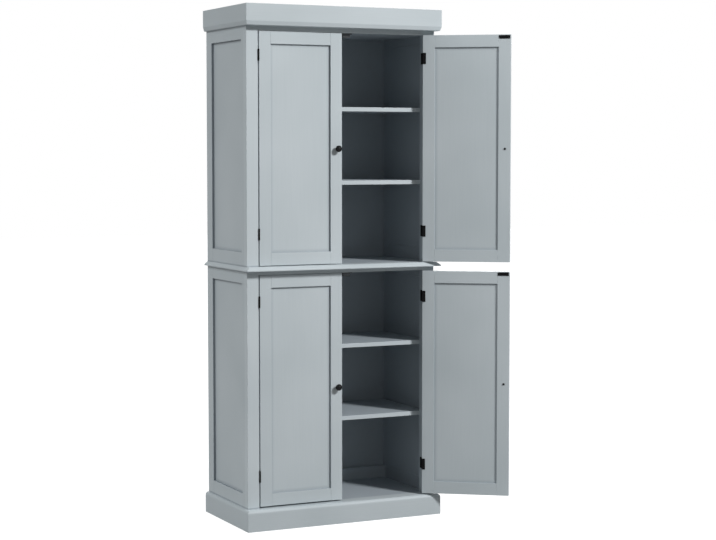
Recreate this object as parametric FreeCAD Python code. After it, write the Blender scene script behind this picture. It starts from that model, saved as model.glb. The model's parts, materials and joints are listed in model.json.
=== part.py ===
import FreeCAD, Part
import math
import os

# Tall kitchen cabinet with two compartments, four inset frame-and-panel doors, a plinth, a waist and a cornice.
# Millimetres. Z is up, the front looks towards -Y, the rear plane is Y = 0 and X = 0 is the middle.

# case
case_width = 736.0
case_depth = 380.0
board = 15.0
side_overhang = 13.0
front_overhang = 35.0

# heights from the floor up
plinth_height = 75.0
lower_opening = 824.0
waist_thickness = 15.0
upper_opening = 821.0
cornice_height = 75.0

# mouldings
plinth_board = 25.0
plinth_round = 12.0
plinth_rebate = 8.0
cornice_board = 55.0
cornice_bevel = 15.0
cornice_bevel_inset = 4.5
cornice_bevel_round = 8.0
cornice_edge_round = 4.0
waist_slope = 13.0
waist_nose = 4.0
waist_nose_round = 3.0
waist_slope_round = 8.0

# frame-and-panel work
panel_thickness = 5.0
panel_recess = 8.0
groove_depth = 8.0
groove_play = 0.1
groove_end_gap = 0.5
flush_gap = 0.3
arris = 1.0
inner_arris = 0.5
joint_arris = 1.2

# sides
side_thickness = 18.0
side_front_stile = 23.0
side_rear_stile = 50.0
side_top_rail = 30.0
side_bottom_rail = 49.0
face_stile_width = 44.0
face_stile_thickness = 25.0

# back
back_panel = 8.0
back_recess = 2.0
back_rebate = 10.0
back_play = 0.3
back_rail_height = 46.0
back_rail_thickness = 18.0

# doors
door_thickness = 18.0
door_stile = 44.0
door_rail = 44.0
door_top_gap = 1.5
upper_door_lift = 2.5
lower_door_lift = 5.5
hinge_gap = 4.0
meeting_gap = 3.5
open_angle = 144.0

# hinges
hinge_height = 40.0
hinge_rise = 113.0
upper_hinge_drop = 84.5
lower_hinge_drop = 94.5
leaf = 1.5
leaf_depth = 16.0
leaf_wrap = 11.5
axis_forward = 2.5
knuckle_radius = 2.75
knuckle_room = 0.45
knuckle_end_play = 0.25
pin_radius = 1.5
pin_hold = 0.02
pin_play = 0.05
pin_head_radius = 2.2
pin_head = 1.0

# screws with countersunk heads
screw_head_radius = 2.6
screw_head = 1.4
screw_radius = 1.4
screw_length = 13.0
screw_spacing = 22.0
screw_inset = 9.0
wrap_screw_inset = 7.0
screw_fit = 0.05

# knobs
knob_inset = 20.0
knob_base_radius = 8.0
knob_base = 2.0
knob_base_slope = 2.0
knob_neck_radius = 5.0
knob_neck = 11.0
knob_neck_round = 4.0
knob_flare = 4.5
knob_crown = 7.0
knob_head_radius = 11.0
knob_projection = 26.0
knob_screw_radius = 2.0
knob_screw_head_radius = 4.0
knob_screw_head = 2.4
knob_screw_bevel = 1.0
knob_screw_bite = 12.0

# catches
strike_width = 40.0
strike_height = 12.0
strike_thickness = 1.5
strike_edge = 3.0
strike_drop = 2.5
strike_corner = 1.5
strike_screw_spacing = 26.0
catch_width = 44.0
catch_depth = 15.0
catch_flange = 4.0
catch_wall = 3.0
catch_gap = 0.3
magnet_width = 22.0
magnet_height = 5.0
magnet_depth = 8.0
magnet_proud = 0.2

# shelves
shelf_thickness = 15.0
shelf_end_gap = 1.0
shelf_back_gap = 2.0
upper_bottom_shelf_rise = 282.5
upper_top_shelf_rise = 544.5
lower_bottom_shelf_rise = 287.5
lower_top_shelf_rise = 550.0
shelf_pin_radius = 2.5
shelf_pin_bite = 9.0
shelf_pin_reach = 9.0
shelf_pin_gap = 0.05

# dowels
dowel_radius = 4.0
dowel_in_board = 10.0
dowel_in_side = 20.0
dowel_margin = 3.0
dowel_from_rebate = 20.0
dowel_fit = 0.05

# levels and lines that follow from the sizes above
half_case = case_width / 2
face = -case_depth
outer_x = -half_case - side_overhang
outer_y = face - front_overhang
z_floor = plinth_height
z_lower_top = z_floor + lower_opening
z_waist = z_lower_top + board
z_upper_floor = z_waist + waist_thickness
z_upper_top = z_upper_floor + upper_opening
z_cornice = z_upper_top + board
z_top = z_cornice + cornice_height
side_front = face + face_stile_thickness
inner_x = half_case - side_thickness
half_opening = half_case - face_stile_width
door_width = half_opening - hinge_gap - meeting_gap / 2
door_edge = -half_opening + hinge_gap
door_inside = face + door_thickness
axis_x = -half_opening + hinge_gap / 2
axis_y = face - axis_forward
back_front = -back_recess - back_panel

X = FreeCAD.Vector(1, 0, 0)
Y = FreeCAD.Vector(0, 1, 0)
Z = FreeCAD.Vector(0, 0, 1)
ORIGIN = FreeCAD.Vector(0, 0, 0)


def vec(x, y, z):
    return FreeCAD.Vector(x, y, z)


def block(x0, x1, y0, y1, z0, z1):
    return Part.makeBox(x1 - x0, y1 - y0, z1 - z0, vec(x0, y0, z0))


def section(corners, place):
    """Flat face through (a, b, radius) corners, each rounded by its radius and put in space by place(a, b)."""
    points = [FreeCAD.Vector(a, b, 0) for a, b, r in corners]
    stops = []
    for i, (a, b, r) in enumerate(corners):
        here = points[i]
        back = (points[i - 1] - here).normalize()
        on = (points[(i + 1) % len(points)] - here).normalize()
        if r == 0:
            stops.append((here, None, here))
            continue
        half = back.getAngle(on) / 2
        middle = (back + on).normalize() * (r / math.sin(half) - r)
        run = r / math.tan(half)
        stops.append((here + back * run, here + middle, here + on * run))
    edges = []
    for i, (start, middle, end) in enumerate(stops):
        a, b, c = [place(p.x, p.y) if p else None for p in (start, middle, end)]
        following = stops[(i + 1) % len(stops)][0]
        if b:
            edges.append(Part.Arc(a, b, c).toShape())
        if (following - end).Length > 1e-6:
            edges.append(Part.LineSegment(c, place(following.x, following.y)).toShape())
    return Part.Face(Part.Wire(edges))


def turned(corners):
    """Solid of revolution about Z from (radius, height, rounding) corners."""
    return section(corners, lambda r, h: vec(r, 0, h)).revolve(ORIGIN, Z, 360)


def aimed(shape, point, direction):
    """Copy of a shape made along +Z from the origin, moved to a point and turned along a direction."""
    copy = shape.copy()
    copy.Placement = FreeCAD.Placement(point, FreeCAD.Rotation(Z, direction))
    return copy


def mirrored(shapes):
    return [s.mirror(ORIGIN, X) for s in shapes]


def swung(shapes):
    """Right-hand pieces turned about the right-hand pin axis to the open pose."""
    return [s.rotated(vec(-axis_x, axis_y, 0), Z, open_angle) for s in shapes]


def bored(shape, cutters):
    """Shape less the cutters that reach it, as one solid."""
    near = [c for c in cutters if shape.BoundBox.intersect(c.BoundBox)]
    return shape.cut(near).Solids[0] if near else shape


def save(name, shapes):
    Part.makeCompound(shapes).exportStep(os.path.join("parts", name + ".step"))


def moulded_run(corners, thickness, z0, z1):
    """Front, left and right boards of one moulding, mitred where they meet at the front corners."""
    front = section(corners, lambda u, z: vec(outer_x, outer_y + u, z)).extrude(X * -2 * outer_x)
    left = section(corners, lambda u, z: vec(outer_x + u, outer_y, z)).extrude(Y * -outer_y)
    near_x, near_y = outer_x + thickness, outer_y + thickness
    plan = ((outer_x, outer_y), (-outer_x, outer_y), (-near_x, near_y), (near_x, near_y), (outer_x, outer_y))
    wedge = Part.Face(Part.makePolygon([vec(x, y, z0) for x, y in plan])).extrude(Z * (z1 - z0))
    left = left.cut(wedge).Solids[0]
    return front.common(wedge).Solids[0], left, left.mirror(ORIGIN, X)


def framed_unit(width, height, thickness, stiles, rails, edge, flush):
    """Two stiles, two rails and a panel, which can be flush inside. X runs across, Y inwards, Z up."""
    g0 = panel_recess
    g1 = panel_recess + panel_thickness + 2 * groove_play

    def stile(s, place):
        corners = [(0, 0, edge), (s, 0, inner_arris), (s, g0, 0), (s - groove_depth, g0, 0)]
        corners += [(s - groove_depth, g1, 0), (s, g1, 0), (s, thickness, inner_arris), (0, thickness, edge)]
        return section(corners, place).extrude(Z * height)

    def rail_plan():
        x0, x1 = stiles[0], width - stiles[1]
        corners = [(x, y, joint_arris) for x, y in ((x0, 0), (x1, 0), (x1, thickness), (x0, thickness))]
        return section(corners, lambda x, y: vec(x, y, 0)).extrude(Z * height)

    def rail(r, place):
        corners = [(0, 0, edge), (0, r, inner_arris), (g0, r, 0), (g0, r - groove_depth, 0)]
        corners += [(g1, r - groove_depth, 0), (g1, r, 0), (thickness, r, inner_arris), (thickness, 0, edge)]
        run = section(corners, place).extrude(X * (width - stiles[0] - stiles[1])).common(rail_plan())
        reach = groove_depth - groove_end_gap
        low = place(g0 + groove_play, 0)
        high = place(g1 - groove_play, r - groove_depth)
        z0, z1 = sorted((low.z, high.z))
        tongue = block(stiles[0] - reach, width - stiles[1] + reach, low.y, high.y, z0, z1)
        return run.fuse(tongue).removeSplitter().Solids[0]

    frame = [
        stile(stiles[0], lambda a, b: vec(a, b, 0)),
        stile(stiles[1], lambda a, b: vec(width - a, b, 0)),
        rail(rails[0], lambda b, c: vec(stiles[0], b, c)),
        rail(rails[1], lambda b, c: vec(stiles[0], b, height - c)),
    ]
    lap = groove_depth - groove_end_gap
    y0 = g0 + groove_play
    y1 = y0 + panel_thickness
    x0, x1 = stiles[0] - lap, width - stiles[1] + lap
    z0, z1 = rails[0] - lap, height - rails[1] + lap
    panel = block(x0, x1, y0, y1, z0, z1)
    if flush:
        inset = lap + flush_gap
        field = block(x0 + inset, x1 - inset, y1, thickness, z0 + inset, z1 - inset)
        panel = panel.fuse(field).removeSplitter().Solids[0]
    return frame, panel


def countersunk(grow):
    """Countersunk screw along +Z with its head's top at the origin. A grown one is the cutter for its seat."""
    head, stem = screw_head_radius + grow, screw_radius + grow
    end = screw_length + grow
    above = [(0, -grow, 0), (head, -grow, 0), (head, 0, 0)] if grow else [(0, 0, 0), (head, 0, 0)]
    return turned(above + [(stem, screw_head, 0), (stem, end - stem, 0), (0, end, 0)])


screw = countersunk(0)
screw_seat = countersunk(screw_fit)


# Hinge leaves, at the left-hand gap with the door shut.
def knuckle(level, z0, z1):
    return Part.makeCylinder(knuckle_radius, z1 - z0, vec(axis_x, axis_y, level + z0), Z)


def knuckle_window(level, z0, z1):
    r = knuckle_radius + knuckle_room
    return block(axis_x - r, axis_x + r, axis_y - r, axis_y + r, level + z0, level + z1)


def leaf_solid(plate, level, bands, open_bands, bore_radius):
    """A leaf's plate with its knuckles, cleared round the other leaf's knuckles and bored for the pin."""
    shape = plate.fuse([knuckle(level, *b) for b in bands]).cut([knuckle_window(level, *b) for b in open_bands])
    bore = Part.makeCylinder(bore_radius, hinge_height, vec(axis_x, axis_y, level - hinge_height / 2), Z)
    return shape.cut(bore).removeSplitter().Solids[0]


def hinge(level):
    """Frame leaf, door leaf and pin of one hinge, with the seats and screws of its two leaves."""
    half, third = hinge_height / 2, hinge_height / 6
    low, high = level - half, level + half
    door_band = (-third + knuckle_end_play, third - knuckle_end_play)
    frame_plate = block(-half_opening, -half_opening + leaf, axis_y, face + leaf_depth, low, high)
    frame_bands = [(-half, -third), (third, half)]
    frame_leaf = leaf_solid(frame_plate, level, frame_bands, [(-third, third)], pin_radius + pin_hold)
    corners = [(door_edge - leaf, axis_y, 0), (door_edge, axis_y, 0), (door_edge, door_inside, 0)]
    corners += [(door_edge + leaf_wrap, door_inside, 0), (door_edge + leaf_wrap, door_inside + leaf, 0)]
    corners += [(door_edge - leaf, door_inside + leaf, leaf)]
    door_plate = section(corners, lambda a, b: vec(a, b, low)).extrude(Z * hinge_height)
    gaps = [(-half, door_band[0]), (door_band[1], half)]
    door_leaf = leaf_solid(door_plate, level, [door_band], gaps, pin_radius + pin_play)
    stem = [(0, -half - pin_head, 0), (pin_radius, -half - pin_head, 0), (pin_head_radius, -half, 0)]
    stem += [(pin_radius, -half, 0), (pin_radius, half, 0), (pin_head_radius, half, 0)]
    stem += [(pin_radius, half + pin_head, 0), (0, half + pin_head, 0)]
    pin = turned(stem).translated(vec(axis_x, axis_y, level))
    heights = (level - screw_spacing / 2, level + screw_spacing / 2)
    frame_spots = [(vec(-half_opening + leaf, face + screw_inset, z), -X) for z in heights]
    door_spots = [(vec(door_edge + wrap_screw_inset, door_inside + leaf, z), -Y) for z in heights]
    return frame_leaf, door_leaf, pin, frame_spots, door_spots


def knob_solid():
    top = knob_projection
    corners = [(0, 0, 0), (knob_base_radius, 0, 0), (knob_base_radius, knob_base, 0)]
    corners += [(knob_neck_radius, knob_base + knob_base_slope, 0)]
    corners += [(knob_neck_radius, knob_neck, knob_neck_round)]
    corners += [(knob_head_radius, knob_neck + knob_flare, 0), (knob_head_radius, top, knob_crown), (0, top, 0)]
    bite = Part.makeCylinder(knob_screw_radius + screw_fit, knob_screw_bite + screw_fit)
    return turned(corners).cut(bite).Solids[0]


def knob_screw(grow):
    stem, head = knob_screw_radius + grow, knob_screw_head_radius
    end = door_thickness + knob_screw_bite
    corners = [(0, -knob_screw_head, 0), (head - knob_screw_bevel, -knob_screw_head, 0)]
    corners += [(head, knob_screw_bevel - knob_screw_head, 0), (head, 0, 0)]
    corners += [(stem, 0, 0), (stem, end, 0), (0, end, 0)]
    return turned(corners)


def door(z0, opening, lift, drop):
    """All solids of one left-hand door, shut, and the frame-side hinge pieces that carry it."""
    height = opening - lift - door_top_gap
    bottom = z0 + lift
    stiles, rails = (door_stile, door_stile), (door_rail, door_rail)
    frame, panel = framed_unit(door_width, height, door_thickness, stiles, rails, arris, False)
    shift = vec(door_edge, face, bottom)
    frame = [s.translated(shift) for s in frame]
    hinges = [hinge(z0 + hinge_rise), hinge(z0 + opening - drop)]
    leaves = [h[1] for h in hinges]
    door_spots = [s for h in hinges for s in h[4]]

    free_edge = door_edge + door_width
    knob_at = vec(free_edge - knob_inset, face, bottom + height / 2)
    knob = aimed(knob_solid(), knob_at, -Y)
    through = aimed(knob_screw(0), knob_at + Y * door_thickness, -Y)
    through_hole = aimed(knob_screw(screw_fit), knob_at + Y * door_thickness, -Y)

    right = free_edge - strike_edge
    left = right - strike_width
    top = bottom + height - strike_drop
    low = top - strike_height
    corners = [(x, z, strike_corner) for x, z in ((left, low), (right, low), (right, top), (left, top))]
    strike = section(corners, lambda x, z: vec(x, door_inside, z)).extrude(Y * strike_thickness)
    middle = right - strike_width / 2
    sides = (middle - strike_screw_spacing / 2, middle + strike_screw_spacing / 2)
    strike_spots = [(vec(x, door_inside + strike_thickness, top - strike_height / 2), -Y) for x in sides]

    seats = [aimed(screw_seat, *s) for s in door_spots + strike_spots]
    screws = [aimed(screw, *s) for s in door_spots + strike_spots] + [through]
    pieces = {
        "frame": [bored(s, seats + [through_hole]) for s in frame],
        "panel": [panel.translated(shift)],
        "knob": [knob],
        "hinge_leaves": [bored(s, seats) for s in leaves],
        "strike_plate": [bored(strike, seats)],
        "screws": screws,
    }
    return pieces, hinges


# Doors: the left pair is shut and the right pair stands open.
os.makedirs("parts", exist_ok=True)
stages = {
    "upper": (z_upper_floor, upper_opening, upper_door_lift, upper_hinge_drop),
    "lower": (z_floor, lower_opening, lower_door_lift, lower_hinge_drop),
}
frame_leaves, pins, frame_spots = [], [], []
for stage, (z0, opening, lift, drop) in stages.items():
    pieces, hinges = door(z0, opening, lift, drop)
    for kind, shapes in pieces.items():
        save(f"{stage}_left_door_{kind}", shapes)
        save(f"{stage}_right_door_{kind}", swung(mirrored(shapes)))
    frame_leaves += [h[0] for h in hinges]
    pins += [h[2] for h in hinges]
    frame_spots += [s for h in hinges for s in h[3]]
frame_seats = [aimed(screw_seat, *s) for s in frame_spots]
frame_leaves = [bored(s, frame_seats) for s in frame_leaves]
save("frame_hinge_leaves", frame_leaves + mirrored(frame_leaves))
save("hinge_pins", pins + mirrored(pins))

# Magnetic catches under the top of each compartment, facing the strike plates.
catch_right = -meeting_gap / 2 - strike_edge - (strike_width - catch_width) / 2
catch_front = door_inside + strike_thickness + catch_gap + magnet_proud
catch_rear = catch_front + catch_depth
catch_middle = catch_right - catch_width / 2
half_magnet = magnet_width / 2
half_body = half_magnet + catch_wall
ear_middle = (half_body + catch_width / 2) / 2
catches, magnets, catch_spots = [], [], []
for roof in (z_upper_top, z_lower_top):
    zm = roof - door_top_gap - strike_drop - strike_height / 2
    m0, m1 = zm - magnet_height / 2, zm + magnet_height / 2
    magnet = block(
        catch_middle - half_magnet, catch_middle + half_magnet,
        catch_front - magnet_proud, catch_front + magnet_depth, m0, m1,
    )
    x0, x1 = catch_middle - half_body, catch_middle + half_body
    body = block(x0, x1, catch_front, catch_rear, m0 - catch_wall, roof)
    ears = block(catch_right - catch_width, catch_right, catch_front, catch_rear, roof - catch_flange, roof)
    housing = body.fuse(ears).removeSplitter().cut(magnet).Solids[0]
    y = (catch_front + catch_rear) / 2
    spots = [(vec(catch_middle + x, y, roof - catch_flange), Z) for x in (-ear_middle, ear_middle)]
    catches.append(bored(housing, [aimed(screw_seat, *s) for s in spots]))
    magnets.append(magnet)
    catch_spots += spots
save("magnetic_catches", catches + mirrored(catches) + magnets + mirrored(magnets))

cabinet_screws = [aimed(screw, *s) for s in frame_spots + catch_spots]
save("cabinet_screws", cabinet_screws + mirrored(cabinet_screws))
catch_seats = [aimed(screw_seat, *s) for s in catch_spots]
catch_seats += mirrored(catch_seats)

# Dowels between the side frames and the boards above and below them, left-hand side.
dowel_x = -inner_x - dowel_radius - dowel_margin
dowel_rows = (side_front + side_front_stile / 2, -back_recess - back_panel - dowel_from_rebate)


def dowel_set(grow):
    found = []
    for level, up in ((z_floor, 1), (z_lower_top, -1), (z_upper_floor, 1), (z_upper_top, -1)):
        length = dowel_in_board + dowel_in_side + 2 * grow
        start = level - up * (dowel_in_board + grow)
        for y in dowel_rows:
            found.append(Part.makeCylinder(dowel_radius + grow, length, vec(dowel_x, y, start), Z * up))
    return found


dowels = dowel_set(0)
dowel_holes = dowel_set(dowel_fit)
all_dowel_holes = dowel_holes + mirrored(dowel_holes)
save("carcass_dowels", dowels + mirrored(dowels))

# Shelves on four pins each.
pin_rows = (side_front + side_front_stile / 2, -side_rear_stile / 2)
shelf_pins, pin_holes = [], []
pin_length = shelf_pin_bite + shelf_pin_reach
hole_radius, hole_length = shelf_pin_radius + shelf_pin_gap, shelf_pin_bite + shelf_pin_gap
shelf_end = inner_x - shelf_end_gap
shelf_rear = back_front - shelf_back_gap
shelf_levels = {
    "upper_bottom_shelf": z_upper_floor + upper_bottom_shelf_rise,
    "upper_top_shelf": z_upper_floor + upper_top_shelf_rise,
    "lower_bottom_shelf": z_floor + lower_bottom_shelf_rise,
    "lower_top_shelf": z_floor + lower_top_shelf_rise,
}
for name, z0 in shelf_levels.items():
    z1 = z0 + shelf_thickness
    corners = [(side_front, z0, arris), (side_front, z1, arris), (shelf_rear, z1, 0), (shelf_rear, z0, 0)]
    save(name, [section(corners, lambda y, z: vec(-shelf_end, y, z)).extrude(X * 2 * shelf_end)])
    for y in pin_rows:
        at = vec(-inner_x - shelf_pin_bite, y, z0 - shelf_pin_radius - shelf_pin_gap)
        shelf_pins.append(Part.makeCylinder(shelf_pin_radius, pin_length, at, X))
        pin_holes.append(Part.makeCylinder(hole_radius, hole_length, at - X * shelf_pin_gap, X))
save("shelf_pins", shelf_pins + mirrored(shelf_pins))

# Side frames with their panels, face stiles and backs.
side_stiles = (side_front_stile, side_rear_stile)
side_rails = (side_bottom_rail, side_top_rail)
half_back = inner_x + back_rebate - back_play
for stage, (z0, opening, lift, drop) in stages.items():
    frame, panel = framed_unit(-side_front, opening, side_thickness, side_stiles, side_rails, 0, True)
    stand = FreeCAD.Placement(vec(half_case, side_front, z0), FreeCAD.Rotation(Z, 90))
    right_frame = [s.transformed(stand.toMatrix()) for s in frame]
    right_panel = panel.transformed(stand.toMatrix())
    rebate = block(inner_x - back_rebate, inner_x + back_rebate, back_front, back_recess, z0, z0 + opening)
    cutters = mirrored([rebate]) + pin_holes + dowel_holes
    left_frame = [bored(s, cutters) for s in mirrored(right_frame)]
    save(f"{stage}_left_side_frame", left_frame)
    save(f"{stage}_right_side_frame", mirrored(left_frame))
    save(f"{stage}_left_side_panel", mirrored([right_panel]))
    save(f"{stage}_right_side_panel", [right_panel])

    corners = [(-half_case, face, arris), (-half_opening, face, arris)]
    corners += [(-half_opening, side_front, 0), (-half_case, side_front, 0)]
    stile = bored(section(corners, lambda a, b: vec(a, b, z0)).extrude(Z * opening), frame_seats)
    save(f"{stage}_left_face_stile", [stile])
    save(f"{stage}_right_face_stile", mirrored([stile]))

    b0, b1 = z0 + back_play, z0 + opening - back_play
    save(f"{stage}_back_panel", [block(-half_back, half_back, back_front, -back_recess, b0, b1)])
rail_front = back_front - back_rail_thickness
save("lower_back_rail", [block(-inner_x, inner_x, rail_front, back_front, z_floor, z_floor + back_rail_height)])

# Plinth: three mitred boards with a rebate for the bottom panel and a plain board at the back.
panel_seat = plinth_height - board
land = plinth_board - plinth_rebate
profile = [(0, 0, 0), (plinth_board, 0, 0), (plinth_board, panel_seat, 0), (land, panel_seat, 0)]
profile += [(land, plinth_height, 0), (0, plinth_height, plinth_round)]
front, left, right = moulded_run(profile, plinth_board, 0, plinth_height)
save("plinth_front", [front])
save("plinth_left", [left])
save("plinth_right", [right])
back_end = outer_x + plinth_board
save("plinth_back", [block(back_end, -back_end, -plinth_board, 0, 0, panel_seat)])

# Boards across the case.
bottom = block(outer_x + land, -outer_x - land, outer_y + land, 0, panel_seat, plinth_height)
save("bottom_panel", [bored(bottom, all_dowel_holes)])
for name, z0 in (("lower_top_panel", z_lower_top), ("top_panel", z_upper_top)):
    sheet = block(-half_case, half_case, face, 0, z0, z0 + board)
    save(name, [bored(sheet, all_dowel_holes + catch_seats)])

# Waist board: the same edge moulding across the front and along both sides, meeting at the corners.
nose = z_waist + waist_nose
across = [(0, z_waist, 0), (outer_y, z_waist, 0), (outer_y, nose, waist_nose_round)]
across += [(outer_y + waist_slope, z_upper_floor, waist_slope_round), (0, z_upper_floor, 0)]
along = [(outer_x, z_waist, 0), (outer_x, nose, waist_nose_round)]
along += [(outer_x + waist_slope, z_upper_floor, waist_slope_round)]
along += [(-x, z, r) for x, z, r in reversed(along)]
waist = section(across, lambda y, z: vec(outer_x, y, z)).extrude(X * -2 * outer_x)
waist = waist.common(section(along, lambda x, z: vec(x, outer_y, z)).extrude(Y * -outer_y)).Solids[0]
save("waist_board", [bored(waist, all_dowel_holes)])

# Cornice: three mitred mouldings with a bevelled lower edge.
profile = [(cornice_bevel_inset, z_cornice, cornice_edge_round), (cornice_board, z_cornice, 0)]
profile += [(cornice_board, z_top, 0), (0, z_top, arris)]
profile += [(0, z_cornice + cornice_bevel, cornice_bevel_round)]
front, left, right = moulded_run(profile, cornice_board, z_cornice, z_top)
save("cornice_front", [front])
save("cornice_left", [left])
save("cornice_right", [right])
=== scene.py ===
# %% [markdown]
# # A tall kitchen cabinet in grey paint
# The cabinet stands on a plinth, has two cupboards one above the other, a moulded waist board between them and a
# cornice on top. Its boards, doors and hinges come ready made at their true size, so this lesson gives them their
# finishes, models the screws, knobs and nails, and sets up the light and the camera. Loading comes first, because
# every later step measures the pieces that it finds here.

# %% Load the cabinet
import json
import math

import bpy
import numpy as np
from mathutils import Matrix, Vector

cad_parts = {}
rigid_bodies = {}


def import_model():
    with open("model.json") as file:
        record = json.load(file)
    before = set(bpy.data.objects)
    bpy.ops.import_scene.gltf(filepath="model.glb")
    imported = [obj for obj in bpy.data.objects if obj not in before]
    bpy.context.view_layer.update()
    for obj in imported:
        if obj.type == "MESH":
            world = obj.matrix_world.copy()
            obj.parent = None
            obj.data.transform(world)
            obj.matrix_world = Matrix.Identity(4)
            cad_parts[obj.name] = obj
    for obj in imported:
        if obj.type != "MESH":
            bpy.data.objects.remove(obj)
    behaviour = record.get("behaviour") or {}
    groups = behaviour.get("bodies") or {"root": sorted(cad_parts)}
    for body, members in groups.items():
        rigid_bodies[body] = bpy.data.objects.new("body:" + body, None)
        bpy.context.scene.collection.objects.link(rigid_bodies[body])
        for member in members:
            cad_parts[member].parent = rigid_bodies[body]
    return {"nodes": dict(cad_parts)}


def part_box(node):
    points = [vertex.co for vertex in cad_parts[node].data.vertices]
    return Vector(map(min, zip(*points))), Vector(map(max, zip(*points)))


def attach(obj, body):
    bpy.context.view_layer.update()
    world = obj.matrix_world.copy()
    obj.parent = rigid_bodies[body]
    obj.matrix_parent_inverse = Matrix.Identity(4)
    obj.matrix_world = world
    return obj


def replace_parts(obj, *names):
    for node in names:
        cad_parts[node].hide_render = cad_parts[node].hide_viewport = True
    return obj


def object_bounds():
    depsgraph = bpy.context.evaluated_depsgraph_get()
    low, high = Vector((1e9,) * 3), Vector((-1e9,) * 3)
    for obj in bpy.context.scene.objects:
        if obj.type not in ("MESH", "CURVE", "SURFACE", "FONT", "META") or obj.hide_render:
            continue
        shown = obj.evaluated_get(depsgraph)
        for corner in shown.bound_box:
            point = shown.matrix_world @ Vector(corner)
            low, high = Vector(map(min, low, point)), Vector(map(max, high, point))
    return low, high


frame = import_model()
nodes = frame["nodes"]
cad_box = [list(corner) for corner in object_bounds()]
print("box from", [round(v, 4) for v in cad_box[0]], "to", [round(v, 4) for v in cad_box[1]])

# %% [markdown]
# ## Helpers for shader nodes
# A finish is a small network of nodes. They could be wired one line at a time, but the network is easier to read
# when each line adds one node together with what goes into it. Colours are given on the 0 to 255 scale of a
# screen, and a shader works with linear light, so another helper converts them.

# %% Node and colour helpers
def wire(tree, node, inputs):
    """Links or fills the named inputs of a node."""
    for key, value in inputs.items():
        if isinstance(value, bpy.types.NodeSocket):
            tree.links.new(value, node.inputs[key])
        else:
            node.inputs[key].default_value = value


def add(tree, kind, inputs=None, **settings):
    """Adds one shader node with its settings and inputs."""
    made = tree.nodes.new("ShaderNode" + kind)
    for key, value in settings.items():
        setattr(made, key, value)
    wire(tree, made, inputs or {})
    return made


def screen_colour(red, green, blue):
    """A colour on the screen's 0 to 255 scale, as the linear numbers that a shader takes."""
    levels = [v / 255 for v in (red, green, blue)]
    return [v / 12.92 if v <= 0.04045 else ((v + 0.055) / 1.055) ** 2.4 for v in levels] + [1.0]


def new_finish(name):
    """A material with a Principled shader wired to its output, and the coordinates of the object it is on."""
    made = bpy.data.materials.new(name)
    made.use_nodes = True
    tree = made.node_tree
    tree.nodes.clear()
    shader = add(tree, "BsdfPrincipled")
    add(tree, "OutputMaterial", {"Surface": shader.outputs[0]})
    return made, tree, shader, add(tree, "TexCoord").outputs["Object"]


def wear(finish, names):
    """Puts a finish on the named pieces."""
    for name in names:
        nodes[name].data.materials.clear()
        nodes[name].data.materials.append(finish)
    print(finish.name, "on", len(names), "pieces")


print("middle grey of the screen is", [round(v, 3) for v in screen_colour(128, 128, 128)[:3]])

# %% [markdown]
# ## Where the paint differs
# The woodwork is one cool grey, but its colour is not the same all over, because shade is painted into it: the
# insides of the cupboards, the corners where boards meet and the narrow edges of the frames are painted darker.
# Most boards have some faces inside and some outside. Each face could have a material slot of its own, but a mask
# that goes by place does the same with one material, so the masks come first.

# %% Masks by place
inside_half_width, inside_front, inside_rear = 0.357, -0.3545, -0.0095
inside_low, inside_high = 0.0745, 1.7505


def within(tree, value, low, high):
    """1 where a value lies between low and high, 0 elsewhere."""
    stretch = {0: value, 1: (low + high) / 2, 2: (high - low) / 2}
    return add(tree, "Math", stretch, operation="COMPARE").outputs[0]


def merged(tree, operation, masks):
    """Merges masks into one: MULTIPLY is 1 where all of them are 1, MAXIMUM where any of them is."""
    result = masks[0]
    for mask in masks[1:]:
        result = add(tree, "Math", {0: result, 1: mask}, operation=operation).outputs[0]
    return result


def along_axis(tree, place, axis):
    """One coordinate of a place."""
    return add(tree, "SeparateXYZ", {0: place}).outputs["xyz".index(axis)]


def unsigned(tree, value):
    """A value without its sign."""
    return add(tree, "Math", {0: value}, operation="ABSOLUTE").outputs[0]


def inside_mask(tree, place):
    """1 on the faces that look into the cupboards."""
    in_width = within(tree, along_axis(tree, place, "x"), -inside_half_width, inside_half_width)
    in_depth = within(tree, along_axis(tree, place, "y"), inside_front, inside_rear)
    in_height = within(tree, along_axis(tree, place, "z"), inside_low, inside_high)
    return merged(tree, "MULTIPLY", [in_width, in_depth, in_height])


print("the inside is", round(2 * inside_half_width, 3), "m wide,", round(inside_rear - inside_front, 3), "m deep")

# %% [markdown]
# Two more masks follow the frames and say where shade is painted. An edge lies between the two faces of a frame,
# so it is found by its depth. The painted shade in a corner is darkest on the line where a panel goes into its
# frame and fades out over about a centimetre, so its mask measures how far the nearest line is.

# %% Masks for edges and corners
edge_slack, far_off = 0.001, 1.0
face_slack = edge_slack / 3


def edge_mask(tree, local, depth_axis, faces, run_axis, run, bands):
    """1 on narrow edges: between two faces in depth, along a run, and in bands of height."""
    depth = unsigned(tree, along_axis(tree, local, depth_axis))
    reach = unsigned(tree, along_axis(tree, local, run_axis))
    height = along_axis(tree, local, "z")
    in_depth = within(tree, depth, faces[0] + face_slack, faces[1] - face_slack)
    in_run = within(tree, reach, run[0] - edge_slack, run[1] + edge_slack)
    in_bands = [within(tree, height, low - edge_slack, high + edge_slack) for low, high in bands]
    return merged(tree, "MULTIPLY", [in_depth, in_run, merged(tree, "MAXIMUM", in_bands)])


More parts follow.
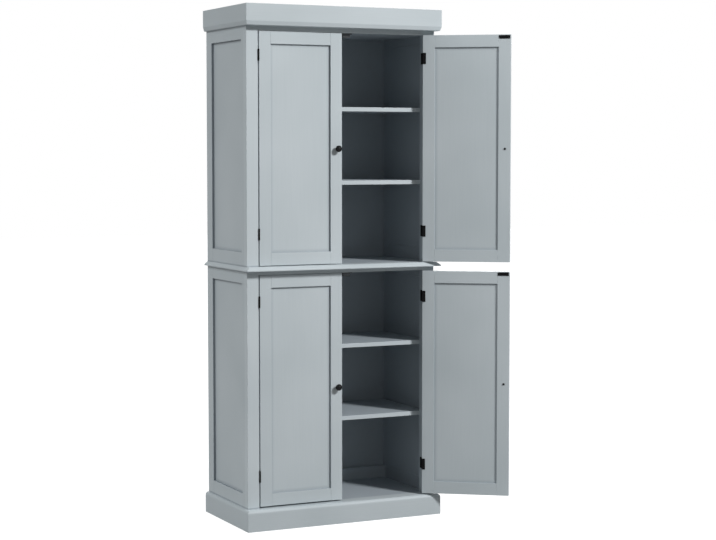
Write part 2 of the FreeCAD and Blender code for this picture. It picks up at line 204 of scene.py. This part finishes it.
def corner_mask(tree, local, axis, uprights, levels, fade):
    """1 on the given upright lines and levels, where boards meet, and 0 from the distance fade on."""
    reach = unsigned(tree, along_axis(tree, local, axis))
    height = along_axis(tree, local, "z")
    nearest = far_off
    for value, line in [(reach, u) for u in uprights] + [(height, z) for z in levels]:
        away = unsigned(tree, add(tree, "Math", {0: value, 1: line}, operation="SUBTRACT").outputs[0])
        nearest = add(tree, "Math", {0: away, 1: nearest}, operation="MINIMUM").outputs[0]
    ramp = {0: nearest, 1: 0.0, 2: fade, 3: 1.0, 4: 0.0}
    return add(tree, "MapRange", ramp, interpolation_type="SMOOTHSTEP").outputs[0]


print("edges are taken with", 1000 * edge_slack, "mm to spare")

# %% [markdown]
# ## Satin paint laid on with a brush
# Brush marks follow the length of each board, the film has a faint orange-peel texture, and its tone drifts a
# little over a large panel. The marks are noise that is stretched along one axis, which costs far less than
# modelled grooves. Stiles are painted upright and rails sideways, so a frame can name a stretch where the marks
# cross over.

# %% Pieces of the paint recipe
noise_low, noise_high = 0.3, 0.7
along_mark, across_mark = 8.0, 620.0


def noise(tree, place, scale, detail, distortion=0.0):
    """Noise between 0 and 1, most of it between noise_low and noise_high."""
    settings = {"Vector": place, "Scale": scale, "Detail": detail, "Distortion": distortion}
    return add(tree, "TexNoise", settings).outputs[0]


def spread(tree, value, low, high):
    """Noise spread out so that most of it lies between low and high."""
    return add(tree, "MapRange", {0: value, 1: noise_low, 2: noise_high, 3: low, 4: high}).outputs[0]


def mixed(tree, share, first, second):
    """The first colour where the share is 0 and the second where it is 1."""
    return add(tree, "Mix", {0: share, 6: first, 7: second}, data_type="RGBA").outputs[2]


def tinted(tree, mask, colour, tint):
    """A colour multiplied by a tint where the mask is 1."""
    inputs = {0: mask, 6: colour, 7: tint}
    return add(tree, "Mix", inputs, data_type="RGBA", blend_type="MULTIPLY").outputs[2]


def bumped(tree, height, strength, distance):
    """A normal that follows fine relief."""
    return add(tree, "Bump", {"Strength": strength, "Distance": distance, "Height": height}).outputs[0]


def brush_marks(tree, local, along):
    """Fine noise drawn out along one axis."""
    fineness = [along_mark if axis == along else across_mark for axis in "xyz"]
    drawn = add(tree, "Mapping", {"Vector": local, "Scale": fineness}).outputs[0]
    return noise(tree, drawn, scale=1.0, detail=3.0)


print("brush marks are", across_mark / along_mark, "times as long as they are wide")

# %% [markdown]
# The recipe puts these helpers together: tone first, then painted shade inside, on edges and in corners, each as a
# tint over the last. Door paint starts from the hinge, so the recipe can move and turn its pattern.

# %% Paint recipe
paint_pale = screen_colour(193, 201, 205)
paint_deep = screen_colour(183, 192, 196)
tone_low, tone_high = 0.45, 0.85
mark_share, peel_share = 0.3, 0.5
paint_roughness, paint_shine = (0.44, 0.56), 0.2


def brushed_paint(name, along, crossed=None, hinge=(0.0, 0.0, 0.0), turn=0.0, tones=(paint_deep, paint_pale),
                  inside_shade=None, edges=None, borders=None):
    """Satin paint with its marks along one axis. crossed is (axis, start, end, along) of a frame's rails.

    The inside tint is painted shade on the faces inside the cupboards. edges and borders are what edge_mask and
    corner_mask take, with the tint of the painted shade on the edges or in the corners as the last entry.
    """
    finish, tree, shader, place = new_finish(name)
    at_hinge = {"Vector": place, "Location": hinge, "Rotation": (0.0, 0.0, turn)}
    local = add(tree, "Mapping", at_hinge, vector_type="TEXTURE").outputs[0]
    marks = brush_marks(tree, local, along)
    if crossed:
        axis, start, end, rail_along = crossed
        on_rail = within(tree, unsigned(tree, along_axis(tree, local, axis)), start, end)
        rail_marks = brush_marks(tree, local, rail_along)
        marks = add(tree, "Mix", {0: on_rail, 2: marks, 3: rail_marks}).outputs[0]
    drift = noise(tree, local, scale=2.6, detail=2.0)
    tone = add(tree, "Math", {0: marks, 1: mark_share, 2: drift}, operation="MULTIPLY_ADD").outputs[0]
    share = add(tree, "MapRange", {0: tone, 1: tone_low, 2: tone_high}).outputs[0]
    colour = mixed(tree, share, *tones)
    # Painted shade: the inside of the cupboards, the deep edges and the corners are tinted darker.
    if inside_shade:
        inside = inside_mask(tree, place)
        colour = tinted(tree, inside, colour, inside_shade)
    if edges:
        *stretches, edge_shade_colour = edges
        colour = tinted(tree, edge_mask(tree, local, *stretches), colour, edge_shade_colour)
    if borders:
        *lines, corner_shade_colour = borders
        corner_shade = corner_mask(tree, local, *lines)
        if inside_shade:
            corner_shade = add(tree, "Math", {0: corner_shade, 1: inside}, operation="SUBTRACT", use_clamp=True).outputs[0]
        colour = tinted(tree, corner_shade, colour, corner_shade_colour)
    peel = noise(tree, local, scale=380.0, detail=1.0)
    film = add(tree, "Math", {0: peel, 1: peel_share, 2: marks}, operation="MULTIPLY_ADD").outputs[0]
    wire(tree, shader, {"Base Color": colour, "Roughness": spread(tree, marks, *paint_roughness),
                        "Normal": bumped(tree, film, strength=0.10, distance=0.0004),
                        "Specular IOR Level": paint_shine})
    return finish


print("paint between", [round(v, 3) for v in paint_deep[:3]], "and", [round(v, 3) for v in paint_pale[:3]])

# %% [markdown]
# ## Boards that run across
# The cornice, waist, plinth and shelves run across the cabinet, so their brush marks run across, and those of the
# side lengths of the mouldings run from front to back. Inside the cupboards the paint is darkened as painted shade,
# the floors and shelves a little and the walls more, so there are two shade tints.

# %% Paint the boards
# Painted shade for the inside of the cupboards.
inside_shade_tint = screen_colour(231, 233, 237)
inside_wall_shade_tint = screen_colour(221, 223, 227)
stages = ("upper", "lower")
sides = ("left", "right")
across = ["plinth_front", "plinth_back", "bottom_panel", "lower_back_rail", "lower_top_panel", "waist_board",
          "top_panel", "cornice_front"] + [f"{s}_{k}_shelf" for s in stages for k in ("bottom", "top")]
endways = [f"{part}_{k}" for part in ("plinth", "cornice") for k in sides]
wear(brushed_paint("paint_across", "x", inside_shade=inside_shade_tint), across)
wear(brushed_paint("paint_endways", "y"), endways)

# %% [markdown]
# ## Fixed stiles beside the doors
# The stiles that the doors hang on are painted a little paler than the doors. Their inner edges, which face the
# opening, are painted darker as painted shade, and painted shade lies in the creases above the plinth and the waist.
# All these places are measured from the pieces, so that they stay with them.

# %% Paint the fixed stiles
# Painted shade: darker tints for the creases and for the edges that face the opening.
crease_shade_tint = screen_colour(206, 208, 212)
edge_shade_tint = screen_colour(228, 230, 233)
stile_tones = (screen_colour(189, 198, 202), screen_colour(199, 207, 211))
crease_levels = [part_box("plinth_left")[1].z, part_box("waist_board")[1].z]
crease_fade = 0.007
crease_shade = ("y", (), crease_levels, crease_fade, crease_shade_tint)
stile_low, stile_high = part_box("upper_right_face_stile")
stile_faces = (-stile_high.y, -stile_low.y)
full_height = (0.0, cad_box[1][2])
stile_edges = ("y", stile_faces, "x", (stile_low.x, stile_low.x), [full_height], edge_shade_tint)
stile_paint = brushed_paint("paint_upright", "z", tones=stile_tones, inside_shade=inside_wall_shade_tint, edges=stile_edges,
                            borders=crease_shade)
wear(stile_paint, [f"{s}_{k}_face_stile" for s in stages for k in sides])
print("creases at", [round(z, 4) for z in crease_levels])

# %% [markdown]
# ## Sides
# Each side is a frame round a sunk panel. The frame's rails lie between the front and the rear stile, which is
# where the brush marks cross over. The narrow edges round the panel lie deep and are painted much darker than the
# faces, as painted shade, and the panel has painted shade all round its edge. It reaches into the frame's grooves
# by a lap, so the lines where it comes out are its own box less the lap.

# %% Paint the sides
panel_lap, panel_fade = 0.0075, 0.015
# Painted shade round the sunk panels.
corner_shade_tint = screen_colour(232, 233, 235)


def shown_bands(kind):
    """The heights between which the upper and the lower panel of a kind come out of their grooves."""
    boxes = [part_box(f"{s}_left_{kind}_panel") for s in stages]
    return [(low.z + panel_lap, high.z - panel_lap) for low, high in boxes]


def panel_shade(axis, lines, bands):
    """Painted shade round sunk panels, as corner lines for the paint recipe."""
    return axis, lines, [z for band in bands for z in band], panel_fade, corner_shade_tint


side_rails = ("y", 0.050, 0.332, "y")
side_bands = shown_bands("side")
side_faces = (inside_half_width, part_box("upper_right_side_frame")[1].x)
# Painted shade on the deep edges round the panel.
side_edges = ("x", side_faces, "y", side_rails[1:3], side_bands, crease_shade_tint)
frame_paint = brushed_paint("paint_side_frames", "z", side_rails, inside_shade=inside_wall_shade_tint, edges=side_edges,
                            borders=crease_shade)
wear(frame_paint, [f"{s}_{k}_side_frame" for s in stages for k in sides])
panel_low, panel_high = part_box("lower_left_side_panel")
side_lines = (-panel_high.y + panel_lap, -panel_low.y - panel_lap)
panel_paint = brushed_paint("paint_side_panels", "z", inside_shade=inside_wall_shade_tint,
                            borders=panel_shade("y", side_lines, side_bands))
wear(panel_paint, [f"{s}_{k}_side_panel" for s in stages for k in sides])

# %% [markdown]
# ## The backs
# The back panels are thin fibreboard. They are painted where they close the cupboards, and their rear faces, which
# stand against the wall, were left bare. The bare board is brown with a fine mat of fibres and pale clouds where
# the pulp lay thinner, so the material is the paint with a second colour laid over it behind a given depth.

# %% Finish the backs
board_brown, board_pale = screen_colour(146, 122, 95), screen_colour(184, 160, 130)
bare_depth, bare_roughness = -0.004, 0.85
mat_low, mat_high = 0.38, 0.62


def bare_rear(finish, depth):
    """Lays bare fibreboard over a painted finish, on the faces behind the given depth."""
    tree = finish.node_tree
    shader = next(n for n in tree.nodes if n.type == "BSDF_PRINCIPLED")
    place = add(tree, "TexCoord").outputs["Object"]
    here = along_axis(tree, place, "y")
    behind = add(tree, "Math", {0: here, 1: depth}, operation="GREATER_THAN").outputs[0]
    fibres = noise(tree, place, scale=420.0, detail=6.0, distortion=1.5)
    clouds = noise(tree, place, scale=9.0, detail=5.0)
    mat = add(tree, "Mix", {0: 0.5, 2: fibres, 3: clouds}).outputs[0]
    share = add(tree, "MapRange", {0: mat, 1: mat_low, 2: mat_high}).outputs[0]
    board = mixed(tree, share, board_brown, board_pale)
    painted, gloss = [shader.inputs[key].links[0].from_socket for key in ("Base Color", "Roughness")]
    dull = add(tree, "Mix", {0: behind, 2: gloss, 3: bare_roughness}).outputs[0]
    wire(tree, shader, {"Base Color": mixed(tree, behind, painted, board), "Roughness": dull})
    return finish


back_paint = brushed_paint("paint_backs", "z", inside_shade=inside_wall_shade_tint)
wear(bare_rear(back_paint, bare_depth), [f"{s}_back_panel" for s in stages])

# %% [markdown]
# ## Painting the doors
# A door is a frame of two stiles and two rails round a sunk panel. Distances are easiest from the hinge: a Mapping
# node of the texture kind moves the pattern to the hinge pin and, for the two doors that stand open, turns it with
# the door. The marks then belong to the door and stay on it when it swings.

# %% Paint the doors
pin_x, pin_y = 0.322, -0.3825
open_turn = math.radians(144)
door_rails = ("x", 0.046, 0.276, "x")
door_bands = shown_bands("door")
door_faces = [corner.y - pin_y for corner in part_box("lower_left_door_frame")]
# Painted shade on the frames' narrow edges and round the panels.
door_edges = ("y", door_faces, "x", door_rails[1:3], door_bands, edge_shade_tint)
panel_low, panel_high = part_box("lower_left_door_panel")
door_lines = (pin_x + panel_low.x + panel_lap, pin_x + panel_high.x - panel_lap)
door_shade = panel_shade("x", door_lines, door_bands)
for side, x, turn in (("left", -pin_x, 0.0), ("right", pin_x, open_turn)):
    pin = (x, pin_y, 0.0)
    frame_paint = brushed_paint(f"paint_{side}_door_frames", "z", door_rails, pin, turn, edges=door_edges)
    wear(frame_paint, [f"{s}_{side}_door_frame" for s in stages])
    panel_paint = brushed_paint(f"paint_{side}_door_panels", "z", None, pin, turn, borders=door_shade)
    wear(panel_paint, [f"{s}_{side}_door_panel" for s in stages])
print("door panels show between", [round(v, 4) for v in door_lines], "m from the pin")

# %% [markdown]
# ## Black enamel for the hinges and strike plates
# The hardware is stoved black enamel, smooth enough to show a soft highlight. Very fine noise in the roughness and
# the relief keeps the highlight from looking like plastic. The recipe takes the roughness as a range, because the
# screws and the knobs further on have a smoother coat than the hinges.

# %% Enamel the hardware
black_deep, black_pale = screen_colour(7, 7, 8), screen_colour(14, 14, 16)


def black_enamel(name, low, high, shine=0.14):
    """Black enamel whose roughness wanders between low and high. shine is the strength of its mirror image."""
    finish, tree, shader, place = new_finish(name)
    grain = noise(tree, place, scale=900.0, detail=2.0)
    cloud = noise(tree, place, scale=60.0, detail=2.0)
    wire(tree, shader, {"Base Color": mixed(tree, cloud, black_deep, black_pale),
                        "Roughness": spread(tree, grain, low, high),
                        "Normal": bumped(tree, grain, strength=0.08, distance=0.0002),
                        "Specular IOR Level": shine})
    return finish


doors = [f"{s}_{k}_door" for s in stages for k in sides]
enamelled = [f"{d}_{p}" for d in doors for p in ("hinge_leaves", "strike_plate")]
wear(black_enamel("hinge_enamel", 0.42, 0.58, shine=0.07), ["frame_hinge_leaves", "hinge_pins"] + enamelled)

# %% [markdown]
# ## Zinc and beech
# Zinc-plated steel pins carry the shelves, and bare beech dowels, out of sight, join the boards. The pins are metal
# with a fine grain in the gloss. The dowels have short dark flecks: noise again, but stretched along the dowel.

# %% Finish the pins and dowels
zinc_deep, zinc_pale = screen_colour(176, 179, 183), screen_colour(206, 208, 210)
beech_deep, beech_pale = screen_colour(176, 134, 92), screen_colour(219, 184, 142)
fleck_fineness = (900.0, 900.0, 70.0)


def zinc_plate(name):
    """Zinc plating: metal with a fine grain."""
    finish, tree, shader, place = new_finish(name)
    grain = noise(tree, place, scale=700.0, detail=3.0)
    wire(tree, shader, {"Base Color": mixed(tree, grain, zinc_deep, zinc_pale), "Metallic": 1.0,
                        "Roughness": spread(tree, grain, low=0.28, high=0.46)})
    return finish


def beech(name):
    """Bare beech with short darker flecks along the dowel."""
    finish, tree, shader, place = new_finish(name)
    drawn = add(tree, "Mapping", {"Vector": place, "Scale": fleck_fineness}).outputs[0]
    fleck = noise(tree, drawn, scale=1.0, detail=4.0)
    wire(tree, shader, {"Base Color": mixed(tree, fleck, beech_deep, beech_pale), "Roughness": 0.7,
                        "Normal": bumped(tree, fleck, strength=0.2, distance=0.0002)})
    return finish


zinc = zinc_plate("zinc_plate")
wear(zinc, ["shelf_pins"])
wear(beech("bare_beech"), ["carcass_dowels"])

# %% [markdown]
# ## Magnetic catches
# A shut door is held by a magnetic catch under the top board: a moulded grey housing round a magnet with a dark
# steel face. Housing and magnet are one piece here, so a second material would need the faces picked out one by
# one. It is shorter to lay the metal by place: one mask compares the height with that of the magnets, another
# compares the distance from the middle of the cabinet with their width.

# %% Finish the catches
magnet_levels, magnet_half_height = (1.740, 0.889), 0.0026
magnet_middle, magnet_half_width = 0.02475, 0.0112
housing_deep, housing_pale = screen_colour(70, 74, 77), screen_colour(82, 86, 89)
magnet_steel = screen_colour(62, 65, 68)


def catch_finish(name):
    """Grey moulded housings with steel-faced magnets."""
    finish, tree, shader, place = new_finish(name)
    reach = unsigned(tree, along_axis(tree, place, "x"))
    height = along_axis(tree, place, "z")
    in_width = within(tree, reach, magnet_middle - magnet_half_width, magnet_middle + magnet_half_width)
    in_bands = [within(tree, height, z - magnet_half_height, z + magnet_half_height) for z in magnet_levels]
    magnet = merged(tree, "MULTIPLY", [in_width, merged(tree, "MAXIMUM", in_bands)])
    grain = noise(tree, place, scale=800.0, detail=2.0)
    plastic = mixed(tree, grain, housing_deep, housing_pale)
    wire(tree, shader, {"Base Color": mixed(tree, magnet, plastic, magnet_steel), "Metallic": magnet,
                        "Roughness": spread(tree, grain, low=0.42, high=0.58), "Specular IOR Level": 0.2})
    return finish


wear(catch_finish("catch_housing"), ["magnetic_catches"])

# %% [markdown]
# ## Screws
# Countersunk screws hold the hinge leaves, strike plates and catches, and a longer one with a pan head holds each
# knob. They come as plain cones and pins, so each is replaced by one with a recess for a cross driver. A screw
# could be put together from cones and cylinders, but their ends would stay hidden inside. It is drawn out of a disc
# instead: extruding and narrowing it in steps gives the head, the shank and the point as one skin.

# %% Draw out the two screws
middle_point = (0.0, 0.0, 0.0)


def new_primitive(kind, name, **settings):
    """Adds a mesh primitive with nothing else selected, and leaves it in edit mode with all of it selected."""
    bpy.ops.object.select_all(action="DESELECT")
    getattr(bpy.ops.mesh, f"primitive_{kind}_add")(**settings)
    made = bpy.context.active_object
    made.name = name
    bpy.ops.object.mode_set(mode="EDIT")
    bpy.ops.mesh.select_all(action="SELECT")
    return made


def drawn_out(name, start, steps, low=0.0, corners=24):
    """A turned form along +Z from a disc of radius start: each step is a rise and the radius at its end."""
    disc = {"vertices": corners, "radius": start, "fill_type": "NGON", "location": (0.0, 0.0, low)}
    made = new_primitive("circle", name, **disc)
    radius = start
    for rise, end in steps:
        bpy.ops.mesh.extrude_region_move(TRANSFORM_OT_translate={"value": (0.0, 0.0, rise)})
        bpy.ops.transform.resize(value=(end / radius, end / radius, 1.0), center_override=middle_point)
        radius = end
    bpy.ops.mesh.select_all(action="SELECT")
    bpy.ops.mesh.normals_make_consistent(inside=False)
    bpy.ops.object.mode_set(mode="OBJECT")
    bpy.ops.object.transform_apply(location=True, rotation=True, scale=True)
    print(name, "is", round(1000 * made.dimensions.z, 2), "mm long with", len(made.data.polygons), "faces")
    return made


sunk_steps = [(0.0014, 0.0014), (0.0102, 0.0014), (0.0014, 0.0002)]
sunk_screw = drawn_out("sunk_screw", 0.0026, sunk_steps)
pan_steps = [(0.0004, 0.0035), (0.0006, 0.0040), (0.0014, 0.0040), (0.0, 0.0020), (0.03, 0.0020)]
pan_screw = drawn_out("pan_screw", 0.0028, pan_steps)

# %% [markdown]
# The recess for the driver is a cross that narrows with depth. It could be pushed in face by face, but a boolean
# with a tapered cross is shorter and keeps the corners crisp.

# %% Cut the recesses
cross_taper = (0.4, 0.7, 1.0)


def cut_cross(screw, width, thickness, depth):
    """Cuts a cross recess into the flat end at the origin."""
    cross = new_primitive("cube", "cross", size=1.0, location=middle_point)
    bpy.ops.transform.resize(value=(width, thickness, 2 * depth), center_override=middle_point)
    bpy.ops.object.mode_set(mode="OBJECT")
    for corner in cross.data.vertices:
        corner.select = corner.co.z > 0
    bpy.ops.object.mode_set(mode="EDIT")
    bpy.ops.transform.resize(value=cross_taper, center_override=middle_point)
    bpy.ops.mesh.select_all(action="SELECT")
    bpy.ops.mesh.duplicate()
    bpy.ops.transform.rotate(value=math.pi / 2, orient_axis="Z", center_override=middle_point)
    bpy.ops.object.mode_set(mode="OBJECT")
    recess = screw.modifiers.new("recess", "BOOLEAN")
    recess.object, recess.operation, recess.solver, recess.use_self = cross, "DIFFERENCE", "EXACT", True
    bpy.context.view_layer.objects.active = screw
    bpy.ops.object.modifier_apply(modifier="recess")
    bpy.data.objects.remove(cross)
    print(screw.name, len(screw.data.vertices), "corners", len(screw.data.polygons), "faces")


cut_cross(sunk_screw, width=0.0031, thickness=0.0008, depth=0.0013)
cut_cross(pan_screw, width=0.0040, thickness=0.0010, depth=0.0016)

# %% [markdown]
# The plain screws say where the new ones go. A copy of their mesh is merged, parted into single screws, and each
# one's long axis is found from the spread of its corners. The wider end is the head. Measuring them costs a few
# lines more than a list of places, but the screws then follow the pieces.

# %% Measure the plain screws
merge_distance, end_zone = 0.000001, 0.002


def plain_screws(name):
    """Head centre, direction and length of every plain screw in a piece."""
    bpy.ops.object.select_all(action="DESELECT")
    copy = bpy.data.objects.new("measured", nodes[name].data.copy())
    bpy.context.scene.collection.objects.link(copy)
    copy.select_set(True)
    bpy.context.view_layer.objects.active = copy
    bpy.ops.object.mode_set(mode="EDIT")
    bpy.ops.mesh.select_all(action="SELECT")
    bpy.ops.mesh.remove_doubles(threshold=merge_distance)
    bpy.ops.mesh.separate(type="LOOSE")
    bpy.ops.object.mode_set(mode="OBJECT")
    found = []
    for part in list(bpy.context.selected_objects):
        points = np.array([corner.co for corner in part.data.vertices])
        middle = points.mean(axis=0)
        axis = np.linalg.svd(points - middle)[2][0]
        along = (points - middle) @ axis
        reach = np.linalg.norm(points - middle - np.outer(along, axis), axis=1)
        if reach[along > along.max() - end_zone].max() > reach[along < along.min() + end_zone].max():
            axis, along = -axis, -along
        found.append((Vector(middle + axis * along.min()), Vector(axis), along.max() - along.min()))
        bpy.data.objects.remove(part)
    return sorted(found, key=lambda spot: tuple(round(v, 5) for v in spot[0]))


plain_names = {"cabinet": "cabinet_screws", **{d: f"{d}_screws" for d in doors}}
measured = {body: plain_screws(plain) for body, plain in plain_names.items()}
print("screws on each body:", {body: len(spots) for body, spots in measured.items()})

# %% [markdown]
# Each new screw is a copy with a mesh of its own, and the copies on one body are joined into one piece that rides
# on it. The recesses are left at all angles, as screws are when they are driven home by hand.

# %% Put the screws in
smooth_angle = math.radians(30)
recess_turn, knob_screw_length = 2.4, 0.02


def copy_at(master, place, name):
    """A copy of the master at a place, with a mesh of its own."""
    mesh = master.data.copy()
    mesh.transform(place)
    made = bpy.data.objects.new(name, mesh)
    bpy.context.scene.collection.objects.link(made)
    return made


def joined(copies, name, finish, body):
    """Joins copies into one piece that wears a finish and rides on a body."""
    bpy.ops.object.select_all(action="DESELECT")
    for copy in copies:
        copy.select_set(True)
    bpy.context.view_layer.objects.active = copies[0]
    bpy.ops.object.join()
    bpy.ops.object.shade_smooth_by_angle(angle=smooth_angle)
    made = bpy.context.active_object
    made.name = name
    made.data.materials.clear()
    made.data.materials.append(finish)
    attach(made, body)
    print(name, len(copies), "copies", len(made.data.polygons), "faces")
    return made


screw_enamel = black_enamel("screw_enamel", 0.30, 0.44)
for body, plain in plain_names.items():
    copies = []
    for i, (head, way, length) in enumerate(measured[body]):
        aim = Vector((0.0, 0.0, 1.0)).rotation_difference(way).to_matrix().to_4x4()
        place = Matrix.Translation(head) @ aim @ Matrix.Rotation(recess_turn * i, 4, "Z")
        copies.append(copy_at(pan_screw if length > knob_screw_length else sunk_screw, place, "screw"))
    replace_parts(joined(copies, f"{body}_cross_screws", screw_enamel, body), plain)
for master in (sunk_screw, pan_screw):
    bpy.data.objects.remove(master)

# %% [markdown]
# ## Ball knobs
# Each door is pulled open by a turned knob: a slightly flattened ball on a short neck, with a small foot on the
# door and a blind hole for its screw. The ready-made ones are coarser, so they are replaced. A stretched sphere
# pushed onto a cylinder would hide faces inside, so the knob is turned in one sweep, as on a lathe. The disc starts
# at the bottom of the screw hole, comes out of it, and is then drawn over the foot, up the neck and round the ball.

# %% Turn a knob
ball_radius, ball_half_depth, ball_middle = 0.0118, 0.0098, 0.0160
foot_radius, foot_height, neck_radius, neck_start = 0.0056, 0.0012, 0.0042, 0.0024
hole_radius, hole_depth = 0.0021, 0.0126
ball_rings, ball_end = 19, math.radians(177)
outline = [(hole_depth, hole_radius), (0.0, hole_radius), (0.0, foot_radius), (foot_height, foot_radius),
           (neck_start, neck_radius)]
for a in np.linspace(math.asin(neck_radius / ball_radius), ball_end, ball_rings):
    outline.append((ball_middle - ball_half_depth * math.cos(a), ball_radius * math.sin(a)))
turns = [(end[0] - start[0], end[1]) for start, end in zip(outline, outline[1:])]
ball_knob = drawn_out("ball_knob", hole_radius, turns, low=hole_depth, corners=40)

# %% [markdown]
# The left-hand knobs sit where the ready-made ones sat, square on the shut doors. The right-hand doors stand open,
# so their knobs are placed as on a shut door, at the mirrored place, and then swung round the hinge pin.

# %% Fit the knobs
knob_enamel = black_enamel("knob_enamel", 0.29, 0.37)
face_front = Matrix.Rotation(math.pi / 2, 4, "X")
right_pin = Vector((pin_x, pin_y, 0.0))
swing = Matrix.Translation(right_pin) @ Matrix.Rotation(open_turn, 4, "Z") @ Matrix.Translation(-right_pin)
for stage in stages:
    low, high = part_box(f"{stage}_left_door_knob")
    middle = (low + high) / 2
    shut = Matrix.Translation((middle.x, high.y, middle.z)) @ face_front
    opened = swing @ Matrix.Translation((-middle.x, high.y, middle.z)) @ face_front
    for side, place in zip(sides, (shut, opened)):
        door = f"{stage}_{side}_door"
        turned = [copy_at(ball_knob, place, "knob")]
        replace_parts(joined(turned, f"{door}_ball_knob", knob_enamel, door), f"{door}_knob")
bpy.data.objects.remove(ball_knob)

# %% [markdown]
# ## Nails in the backs
# The backs are nailed into the rebates of the sides, and the lower one into the rail at its foot as well. Only the
# heads show. One head is drawn out of a disc like the screws, with three small steps for its dome, and copied along
# the edges at an even spacing. The rows are measured from the panels, so they follow them.

# %% Nail the backs
nail_steps = [(0.0005, 0.0019), (0.00015, 0.0015), (0.0001, 0.0007)]
nail = drawn_out("nail", 0.0019, nail_steps, low=-0.0001, corners=12)
edge_inset, row_inset, row_count = 0.0048, 0.045, 8
rail_reach, rail_count = 0.27, 6
nail_spots = []
for stage in stages:
    low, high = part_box(f"{stage}_back_panel")
    for z in np.linspace(low.z + row_inset, high.z - row_inset, row_count):
        nail_spots += [(low.x + edge_inset, high.y, z), (high.x - edge_inset, high.y, z)]
rail_low, rail_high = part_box("lower_back_rail")
rail_level = (rail_low.z + rail_high.z) / 2
nail_spots += [(x, high.y, rail_level) for x in np.linspace(-rail_reach, rail_reach, rail_count)]
face_rear = Matrix.Rotation(-math.pi / 2, 4, "X")
heads = [copy_at(nail, Matrix.Translation(spot) @ face_rear, "nail_head") for spot in nail_spots]
joined(heads, "back_nails", zinc, "cabinet")
bpy.data.objects.remove(nail)

# %% [markdown]
# ## The floor
# The cabinet is shown on a plain white ground. A white board under soft light would still render grey, so the floor
# is part diffuse board, which takes the shadow, and part glow that only the camera and mirror-like surfaces see.
# Other light meets an ordinary pale floor, and the glow does not brighten the cabinet.

# %% Floor
floor_size, floor_grey, shadow_grey, floor_glow = 40.0, 0.24, 0.28, 0.95
pure_white = (1.0, 1.0, 1.0, 1.0)


def seen_directly(tree):
    """1 for rays from the camera or off gloss and glass, 0 for the light that bounces about."""
    path = add(tree, "LightPath").outputs
    kinds = ("Is Glossy Ray", "Is Transmission Ray", "Is Camera Ray")
    return merged(tree, "MAXIMUM", [path[kind] for kind in kinds])


bpy.ops.object.select_all(action="DESELECT")
bpy.ops.mesh.primitive_plane_add(size=floor_size, location=(0.0, 0.0, 0.0))
floor = bpy.context.active_object
floor.name = "floor"
floor_white = bpy.data.materials.new("floor_white")
floor_white.use_nodes = True
tree = floor_white.node_tree
tree.nodes.clear()
pale_floor = add(tree, "BsdfDiffuse", {"Color": [floor_grey] * 3 + [1.0]})
shadow_board = add(tree, "BsdfDiffuse", {"Color": [shadow_grey] * 3 + [1.0]})
glow = add(tree, "Emission", {"Color": pure_white, "Strength": floor_glow})
shown = add(tree, "AddShader", {0: shadow_board.outputs[0], 1: glow.outputs[0]})
both = add(tree, "MixShader", {0: seen_directly(tree), 1: pale_floor.outputs[0], 2: shown.outputs[0]})
add(tree, "OutputMaterial", {"Surface": both.outputs[0]})
floor.data.materials.append(floor_white)
print("floor", [round(v, 2) for v in floor.dimensions])

# %% [markdown]
# ## Light
# The key is a soft box high up at the front right, some seven metres off. It is near enough for its light to fall
# off down the doors and high enough to throw the narrow shadow bands under the cornice and the waist. A wide,
# distant second light from the left and slightly behind shows the left side and the open doors without reaching
# into the cupboards, and a third one does the same for the back.

# %% Lights
cabinet_middle = (0.0, 0.0, 0.92)


def placed_light(name, kind, place, aim, energy):
    """A lamp of the given kind at a place, shining towards a point."""
    lamp = bpy.data.lights.new(name, kind)
    lamp.energy = energy
    made = bpy.data.objects.new(name, lamp)
    bpy.context.scene.collection.objects.link(made)
    made.location = place
    made.rotation_euler = (Vector(place) - Vector(aim)).to_track_quat("Z", "Y").to_euler()
    print(name, round((Vector(place) - Vector(aim)).length, 2), "m away, energy", energy)
    return lamp


key_light = placed_light("key_light", "AREA", (2.82, -5.60, 4.77), aim=(0.0, -0.38, 1.0), energy=418.0)
key_light.shape = "DISK"
key_light.size = 1.10
side_light = placed_light("side_light", "SUN", (-4.2, 0.76, 4.00), aim=cabinet_middle, energy=1.19)
side_light.color = (0.965, 0.99, 1.0)
side_light.angle = math.radians(30)
rear_light = placed_light("rear_light", "SUN", (2.6, 5.5, 3.2), aim=cabinet_middle, energy=1.1)
rear_light.angle = math.radians(20)

# %% [markdown]
# ## Surroundings
# An even glow from all round softens the shadows. Seen by the camera it would be grey, so here too the camera and
# mirror-like surfaces get plain white instead, as in a photograph with a cut-out background.

# %% Surroundings
fill_strength = 0.23
surroundings = bpy.data.worlds.new("surroundings")
surroundings.use_nodes = True
bpy.context.scene.world = surroundings
tree = surroundings.node_tree
tree.nodes.clear()
fill = add(tree, "Background", {"Color": pure_white, "Strength": fill_strength})
white = add(tree, "Background", {"Color": pure_white, "Strength": 1.0})
both = add(tree, "MixShader", {0: seen_directly(tree), 1: fill.outputs[0], 2: white.outputs[0]})
add(tree, "OutputWorld", {"Surface": both.outputs[0]})
print("fill", fill_strength, "of white")

# %% [markdown]
# ## Camera
# The picture is taken from the left at about chest height with a longish lens, from some seven metres away, so that
# the uprights stay nearly parallel. The place and angle were worked out from the corners of the mouldings.

# %% Camera
camera_place = (-2.7302, -6.1462, 1.3395)
camera_dip, camera_heading = 3.868, -25.834
view = bpy.data.cameras.new("camera")
view.sensor_width = 36.0
view.lens = 90.015
view.clip_end = 100.0
camera = bpy.data.objects.new("camera", view)
bpy.context.scene.collection.objects.link(camera)
camera.location = camera_place
camera.rotation_euler = (math.radians(90 - camera_dip), 0.0, math.radians(camera_heading))
bpy.context.scene.camera = camera
bpy.context.scene.view_settings.view_transform = "Standard"
print("camera", round((camera.location - Vector(cabinet_middle)).length, 2), "m from the cabinet")
